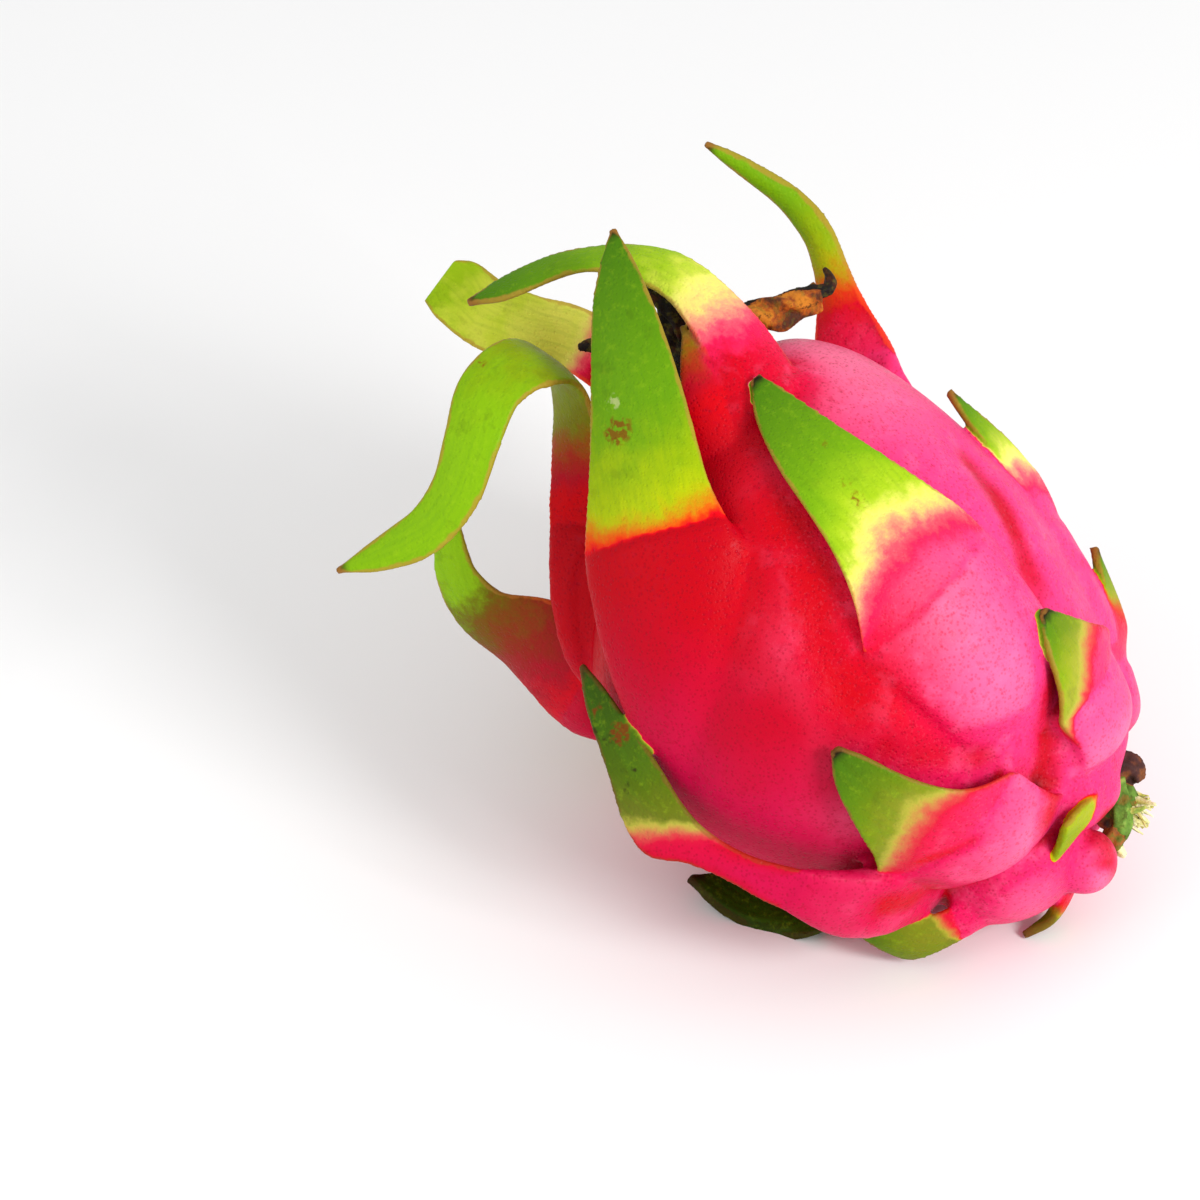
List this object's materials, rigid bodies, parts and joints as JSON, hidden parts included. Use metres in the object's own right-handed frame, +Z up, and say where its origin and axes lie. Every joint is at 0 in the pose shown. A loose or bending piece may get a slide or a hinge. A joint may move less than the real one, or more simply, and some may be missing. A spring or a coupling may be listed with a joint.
{
  "type": "dragon fruit",
  "caption": "Whole dragon fruit lying on its side: plump oval body with flared leafy bracts, longer curling ones round the crown, a withered flower and a dry stalk.",
  "frame": {"origin": "on the ground, under the middle of the fruit's bounding box", "axes": "+Z up from the ground; +X towards the stem end, -X towards the crown; the long way of the object lies along X"},
  "size_m": [0.1466, 0.1133, 0.1133],
  "materials": {
    "skin": "waxy, bright pink-red skin; bracts turn yellow, then green towards their tips",
    "dry_flower": "dull, shrivelled, brown",
    "dry_stalk": "dull, fibrous, cream, brown and green"
  },
  "bodies": {
    "root": {"fruit": "skin", "dried_flower": "dry_flower", "stem_stub": "dry_stalk"}
  },
  "joints": []
}
